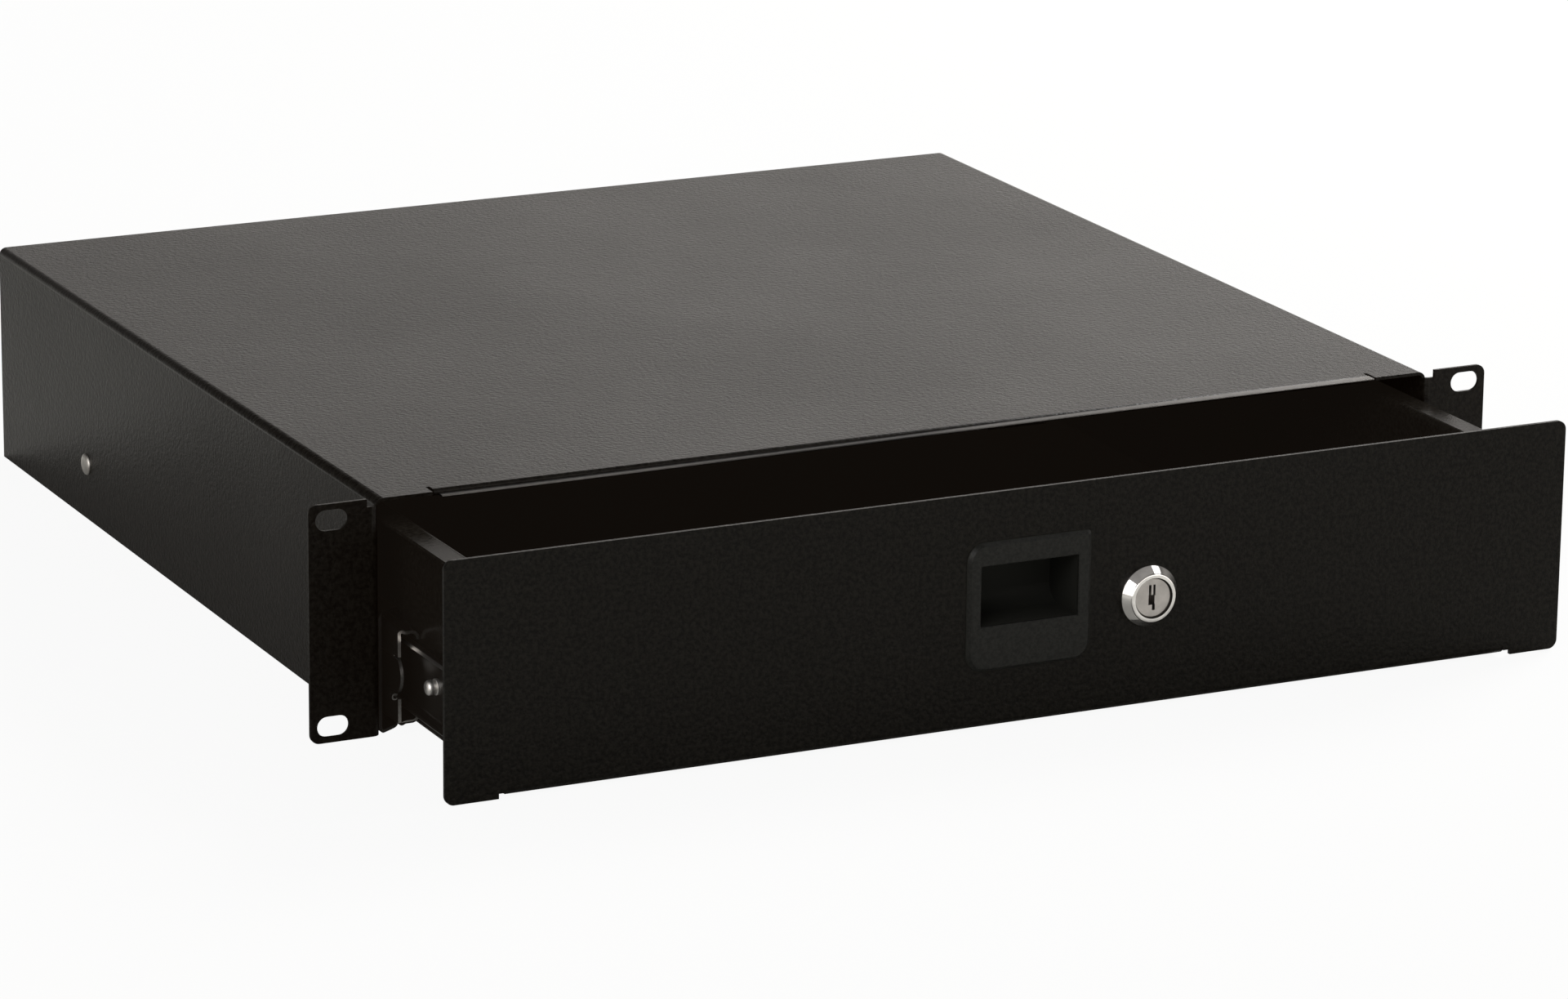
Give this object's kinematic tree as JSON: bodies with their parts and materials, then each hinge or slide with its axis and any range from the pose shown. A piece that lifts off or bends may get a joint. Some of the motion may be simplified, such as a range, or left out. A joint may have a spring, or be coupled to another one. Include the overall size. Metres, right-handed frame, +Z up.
{
  "type": "sliding rack drawer",
  "caption": "Lockable rack-mount drawer: folded steel cover with ears, open tray on ball-bearing telescopic slides, recessed finger pull and cam lock, shown part open.",
  "frame": {"origin": "centre of the rack screw pattern on the back face of the ears", "axes": "+X to the right seen from the front, +Y from the front to the back, +Z up; the drawer opens along -Y and is shown 81.5 mm open"},
  "size_m": [0.4826, 0.4885, 0.0889],
  "materials": {
    "textured_black_coat": "fine-textured matte powder coat",
    "black_coated_rail": "thin smooth black coat, bare bright steel on the cut ends",
    "plain_steel_strip": "plain strip, lightly greased",
    "bearing_steel": "polished",
    "rivet_steel": "satin, turned or headed",
    "black_moulding": "fine satin moulded grain",
    "polished_chrome": "polished plate, brushed on the key face",
    "zinc_plated_hardware": "zinc plate, satin"
  },
  "bodies": {
    "chassis": {"cover_shell": "textured_black_coat", "rear_panel": "textured_black_coat", "lock_strike": "textured_black_coat", "left_outer_rail": "black_coated_rail", "right_outer_rail": "black_coated_rail", "left_rail_rivets": "rivet_steel", "right_rail_rivets": "rivet_steel", "left_rail_end_stop": "black_moulding", "right_rail_end_stop": "black_moulding"},
    "drawer": {"drawer_tray": "textured_black_coat", "drawer_front": "textured_black_coat", "left_inner_rail": "black_coated_rail", "right_inner_rail": "black_coated_rail", "left_tray_rivets": "rivet_steel", "right_tray_rivets": "rivet_steel", "left_rail_stud": "rivet_steel", "right_rail_stud": "rivet_steel", "finger_pull": "black_moulding", "lock_housing": "polished_chrome", "lock_nut": "zinc_plated_hardware"},
    "key_plug": {"lock_plug": "polished_chrome", "lock_cam": "zinc_plated_hardware", "cam_screw": "zinc_plated_hardware"},
    "left_middle": {"left_middle_rail": "black_coated_rail"},
    "left_outer_cage_set": {"left_outer_ball_cage": "plain_steel_strip", "left_outer_balls": "bearing_steel"},
    "left_inner_cage_set": {"left_inner_ball_cage": "plain_steel_strip", "left_inner_balls": "bearing_steel"},
    "right_middle": {"right_middle_rail": "black_coated_rail"},
    "right_outer_cage_set": {"right_outer_ball_cage": "plain_steel_strip", "right_outer_balls": "bearing_steel"},
    "right_inner_cage_set": {"right_inner_ball_cage": "plain_steel_strip", "right_inner_balls": "bearing_steel"}
  },
  "joints": [
    {"name": "drawer_slide", "type": "slide", "parent": "chassis", "child": "drawer", "axis": [0, -1, 0], "range_m": [-0.0815, 0.2685]},
    {"name": "left_middle_slide", "type": "slide", "parent": "chassis", "child": "left_middle", "axis": [0, -1, 0], "range_m": [-0.04075, 0.13425]},
    {"name": "left_outer_cage_set_slide", "type": "slide", "parent": "chassis", "child": "left_outer_cage_set", "axis": [0, -1, 0], "range_m": [-0.02038, 0.06712]},
    {"name": "left_inner_cage_set_slide", "type": "slide", "parent": "chassis", "child": "left_inner_cage_set", "axis": [0, -1, 0], "range_m": [-0.06112, 0.20137]},
    {"name": "right_middle_slide", "type": "slide", "parent": "chassis", "child": "right_middle", "axis": [0, -1, 0], "range_m": [-0.04075, 0.13425]},
    {"name": "right_outer_cage_set_slide", "type": "slide", "parent": "chassis", "child": "right_outer_cage_set", "axis": [0, -1, 0], "range_m": [-0.02038, 0.06712]},
    {"name": "right_inner_cage_set_slide", "type": "slide", "parent": "chassis", "child": "right_inner_cage_set", "axis": [0, -1, 0], "range_m": [-0.06112, 0.20137]},
    {"name": "lock_turn", "type": "hinge", "parent": "drawer", "child": "key_plug", "pos_m": [0.04965, -0.08, -0.00095], "axis": [0, -1, 0], "range_deg": [0, 90]}
  ],
  "couplings": [
    {"joint": "left_middle_slide", "follows": "drawer_slide", "ratio": 0.5},
    {"joint": "left_outer_cage_set_slide", "follows": "drawer_slide", "ratio": 0.25},
    {"joint": "left_inner_cage_set_slide", "follows": "drawer_slide", "ratio": 0.75},
    {"joint": "right_middle_slide", "follows": "drawer_slide", "ratio": 0.5},
    {"joint": "right_outer_cage_set_slide", "follows": "drawer_slide", "ratio": 0.25},
    {"joint": "right_inner_cage_set_slide", "follows": "drawer_slide", "ratio": 0.75}
  ]
}
